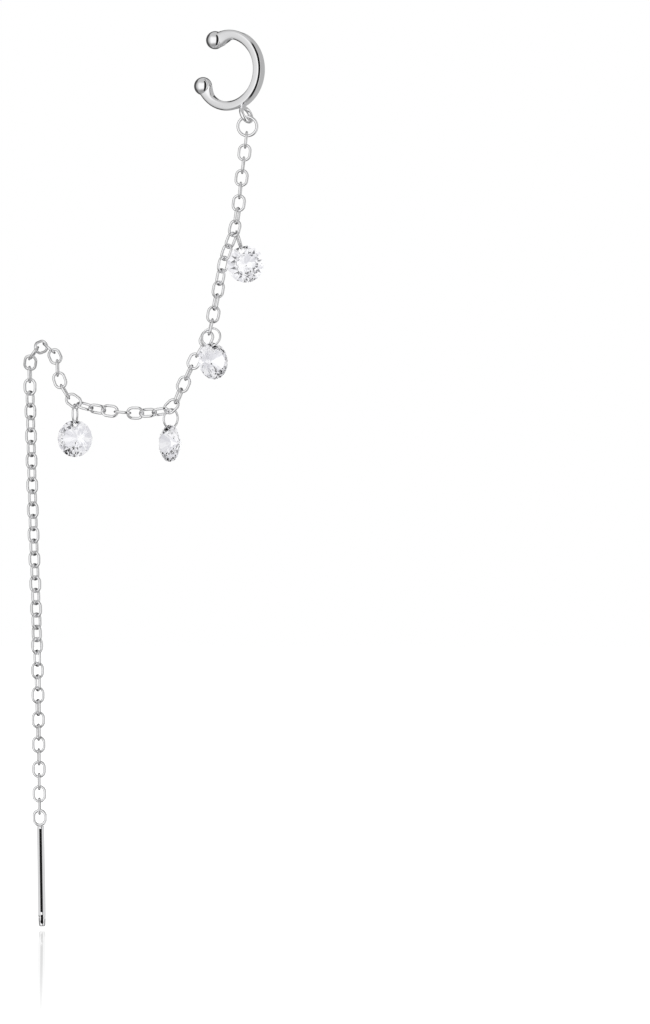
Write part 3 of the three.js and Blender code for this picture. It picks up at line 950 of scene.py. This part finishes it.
def stone_light(nodes):
    """The tent as it shines through the stones: white with pale lilac panels, and dark at the camera."""
    panels_across, panels_up, panel_edge, camera_edge = 8.0, 6.0, (-1.2, 0.8), (-0.996, -0.985)
    way = nodes.add("ShaderNodeTexCoord").outputs["Generated"]
    x, y, z = nodes.add("ShaderNodeSeparateXYZ", Vector=way).outputs
    across = nodes.math("SINE", nodes.math("MULTIPLY", x, panels_across))
    upward = nodes.math("SINE", nodes.math("MULTIPLY_ADD", z, panels_up, 1.0))
    panel = nodes.ramp(nodes.math("ADD", across, upward), *panel_edge)
    lilac = plain_light(nodes, 0.78, 0.78, 0.81)
    white = plain_light(nodes, 1.08, 1.08, 1.08)
    dark = plain_light(nodes, 0.16, 0.16, 0.17)
    light = nodes.add("ShaderNodeMixShader", i0=panel, i1=lilac, i2=white)
    near = nodes.ramp(y, *camera_edge, 1.0, 0.0)
    return nodes.add("ShaderNodeMixShader", i0=near, i1=light.outputs[0], i2=dark).outputs[0]


def tent_world(stage):
    """A white tent: one light for the metal, a whiter one for the stones, and plain white behind."""
    world = bpy.data.worlds.new("White tent")
    bpy.context.scene.world = world
    world.use_nodes = True
    world.node_tree.nodes.clear()
    nodes = Nodes(world.node_tree)
    metal = nodes.add("ShaderNodeBackground", Color=tent_light(nodes, stage))
    stones = stone_light(nodes)
    seen = plain_light(nodes, 1, 1, 1)
    kind = nodes.add("ShaderNodeLightPath")
    through, looked = kind.outputs["Is Transmission Ray"], kind.outputs["Is Camera Ray"]
    tent = nodes.add("ShaderNodeMixShader", i0=through, i1=metal.outputs[0], i2=stones)
    whole = nodes.add("ShaderNodeMixShader", i0=looked, i1=tent.outputs[0], i2=seen)
    nodes.add("ShaderNodeOutputWorld", Surface=whole.outputs[0])


def add_prop(name, corners, material):
    """A flat part of the stage."""
    mesh = bpy.data.meshes.new(name)
    mesh.from_pydata(corners, [], [(0, 1, 2, 3)])
    mesh.materials.append(material)
    prop = bpy.data.objects.new(name, mesh)
    bpy.context.scene.collection.objects.link(prop)
    return prop


def add_floor(stage):
    """A white floor just below the pin, with a faint gloss near the object."""
    z = CAD_BOX[0][2] - stage.floor_gap
    half, shine_near, shine_far, most_shine = 2.0, 0.12, 0.27, 0.6
    corners = [(-half, -half, z), (half, -half, z), (half, half, z), (-half, half, z)]
    material, nodes = empty_material("White floor")
    glow = nodes.add("ShaderNodeEmission", Strength=1.25)
    gloss = nodes.add("ShaderNodeBsdfGlossy", Roughness=0.05)
    place = nodes.add("ShaderNodeTexCoord").outputs["Object"]
    away = nodes.add("ShaderNodeVectorMath", {"operation": "LENGTH"}, i0=place).outputs["Value"]
    grazing = nodes.add("ShaderNodeFresnel", IOR=1.45).outputs[0]
    shine = nodes.math("MULTIPLY", nodes.ramp(away, shine_near, shine_far, most_shine, 0.0), grazing)
    mix = nodes.add("ShaderNodeMixShader", i0=shine, i1=glow.outputs[0], i2=gloss.outputs[0])
    nodes.add("ShaderNodeOutputMaterial", Surface=mix.outputs[0])
    floor = add_prop("floor", corners, material)
    floor.visible_glossy = False
    floor.visible_transmission = False


def card_light(name, strength, reach):
    """A light that only shines from its front, and fades soon after its reach."""
    material, nodes = empty_material(name)
    glow = nodes.add("ShaderNodeEmission", Color=(strength, strength, strength, 1))
    clear = nodes.add("ShaderNodeBsdfTransparent")
    back = nodes.add("ShaderNodeNewGeometry").outputs["Backfacing"]
    travelled = nodes.add("ShaderNodeLightPath").outputs["Ray Length"]
    faded = reach * 1.2
    away = nodes.math("MAXIMUM", back, nodes.ramp(travelled, reach, faded))
    mix = nodes.add("ShaderNodeMixShader", i0=away, i1=glow.outputs[0], i2=clear.outputs[0])
    nodes.add("ShaderNodeOutputMaterial", Surface=mix.outputs[0])
    return material


def add_card(name, material, corners):
    """A card that only the metal sees."""
    card = add_prop(name, corners, material)
    card.visible_camera = False
    card.visible_transmission = False


def add_pin_cards():
    """Black cards before the pin, for the dark line down its middle, and white ones beside it."""
    low, high = (Vector(corner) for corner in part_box("threader_pin"))
    middle, front = (low.x + high.x) / 2, low.y - 1.5 * MM
    top, gap, spot = high.z - 2.55 * MM, low.z + 1.75 * MM, low.z + 1.3 * MM
    foot = low.z - 0.2 * MM
    wide, narrow, wider, beside = 1.5 * MM, 0.5 * MM, 3 * MM, 3.5 * MM
    black = card_light("Black card", 0.01, 4 * MM)
    line = [(-wide, gap), (-wide, top), (wide, top), (wide, gap)]
    mark = [(-wider, foot), (-narrow, spot), (narrow, spot), (wider, foot)]
    add_card("line_card", black, [(middle + x, front, z) for x, z in line])
    add_card("spot_card", black, [(middle + x, front, z) for x, z in mark])
    white = card_light("White card", 0.7, 5.5 * MM)
    lower, upper, depth = low.z + 0.75 * MM, top + 2 * MM, 9 * MM
    for name, side in (("left_card", -1), ("right_card", 1)):
        x, near = middle + side * beside, -side * depth
        add_card(name, white, [(x, near, lower), (x, near, upper), (x, -near, upper), (x, -near, lower)])


def add_cuff_card():
    """A grey card to the right of the cuff and behind it, which lights the band's outer face."""
    grey = card_light("Grey card", 0.46, 14 * MM)
    right, behind = (9 * MM, -2 * MM), (4 * MM, 10 * MM)
    low, high = -12 * MM, 12 * MM
    add_card("cuff_card", grey, [(*right, low), (*right, high), (*behind, high), (*behind, low)])


def add_camera(stage):
    """A camera at the front, level with its aim."""
    data = bpy.data.cameras.new("camera")
    data.type = "PERSP"
    data.lens = stage.lens
    data.sensor_width = 36
    data.clip_start = 0.01
    data.clip_end = 20
    camera = bpy.data.objects.new("camera", data)
    bpy.context.scene.collection.objects.link(camera)
    camera.location = Vector(stage.aim) + FRONT * stage.distance
    camera.rotation_euler = (math.pi / 2, 0, 0)
    bpy.context.scene.camera = camera


class EARCUFF_OT_stage(bpy.types.Operator):
    """Set up the camera, the white tent, the floor and the cards"""
    bl_idname = "earcuff.stage"
    bl_label = "Camera, tent, floor and cards"

    def execute(self, context):
        stage = context.scene.stage_settings
        add_camera(stage)
        tent_world(stage)
        add_floor(stage)
        add_pin_cards()
        add_cuff_card()
        context.scene.view_settings.view_transform = "Standard"
        return {"FINISHED"}


# ---- the add-on ----

class EARCUFF_PT_panel(bpy.types.Panel):
    """The ear cuff's sizes and the buttons that build it"""
    bl_idname = "EARCUFF_PT_panel"
    bl_label = "Threader ear cuff"
    bl_space_type = "VIEW_3D"
    bl_region_type = "UI"
    bl_category = "Ear cuff"

    def draw(self, context):
        for operator in OPERATORS:
            self.layout.operator(operator.bl_idname)
        for name in GROUPS:
            box = self.layout.box()
            group = getattr(context.scene, name)
            box.label(text=name.replace("_", " ").capitalize())
            for key in group.bl_rna.properties.keys():
                if key not in ("rna_type", "name"):
                    box.prop(group, key)


GROUPS = {"cuff_sizes": CuffSizes, "chain_sizes": ChainSizes, "drop_sizes": DropSizes,
          "pin_sizes": PinSizes, "finishes": Finishes, "stage_settings": StageSettings}
OPERATORS = (EARCUFF_OT_stage, EARCUFF_OT_cuff, EARCUFF_OT_chain, EARCUFF_OT_drops, EARCUFF_OT_pin)


def register():
    for cls in (*GROUPS.values(), *OPERATORS, EARCUFF_PT_panel):
        bpy.utils.register_class(cls)
    for name, cls in GROUPS.items():
        setattr(bpy.types.Scene, name, PointerProperty(type=cls))


def unregister():
    for name in GROUPS:
        delattr(bpy.types.Scene, name)
    for cls in (EARCUFF_PT_panel, *reversed(OPERATORS), *reversed(GROUPS.values())):
        bpy.utils.unregister_class(cls)


def main():
    register()
    bpy.ops.earcuff.stage()
    bpy.ops.earcuff.cuff()
    bpy.ops.earcuff.chain()
    bpy.ops.earcuff.drops()
    bpy.ops.earcuff.pin()


if __name__ == "__main__":
    main()
